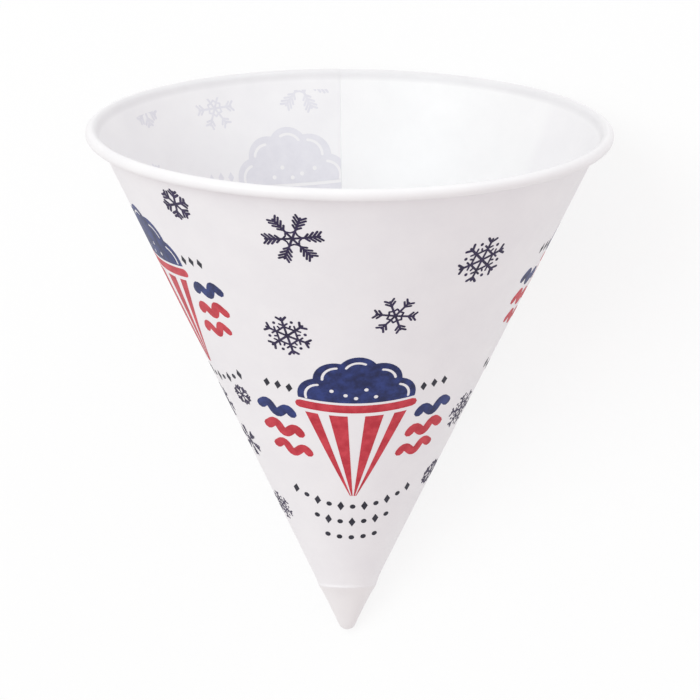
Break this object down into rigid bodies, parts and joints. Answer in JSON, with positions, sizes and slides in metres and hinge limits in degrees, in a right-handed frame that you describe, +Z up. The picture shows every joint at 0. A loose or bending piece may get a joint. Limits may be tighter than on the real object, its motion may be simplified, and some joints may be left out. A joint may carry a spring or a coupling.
{
  "type": "cone paper cup",
  "caption": "Cone-shaped waxed paper cup with a lapped seam, a rolled rim and a pressed tip, printed with snowflakes, lying on its side.",
  "frame": {"origin": "on the surface the cup lies on, under the middle of its bounding box", "axes": "+Z up from that surface; the cup's own axis lies in the YZ plane and runs from the tip, at -Y, up towards the mouth, at +Y, rising 26.1 degrees; the lapped seam is lowest"},
  "size_m": [0.0903, 0.101, 0.0811],
  "materials": {
    "paper": "white waxed paper, soft sheen, printed outside in navy, red and near-black"
  },
  "bodies": {
    "root": {"cup": "paper"}
  },
  "joints": []
}
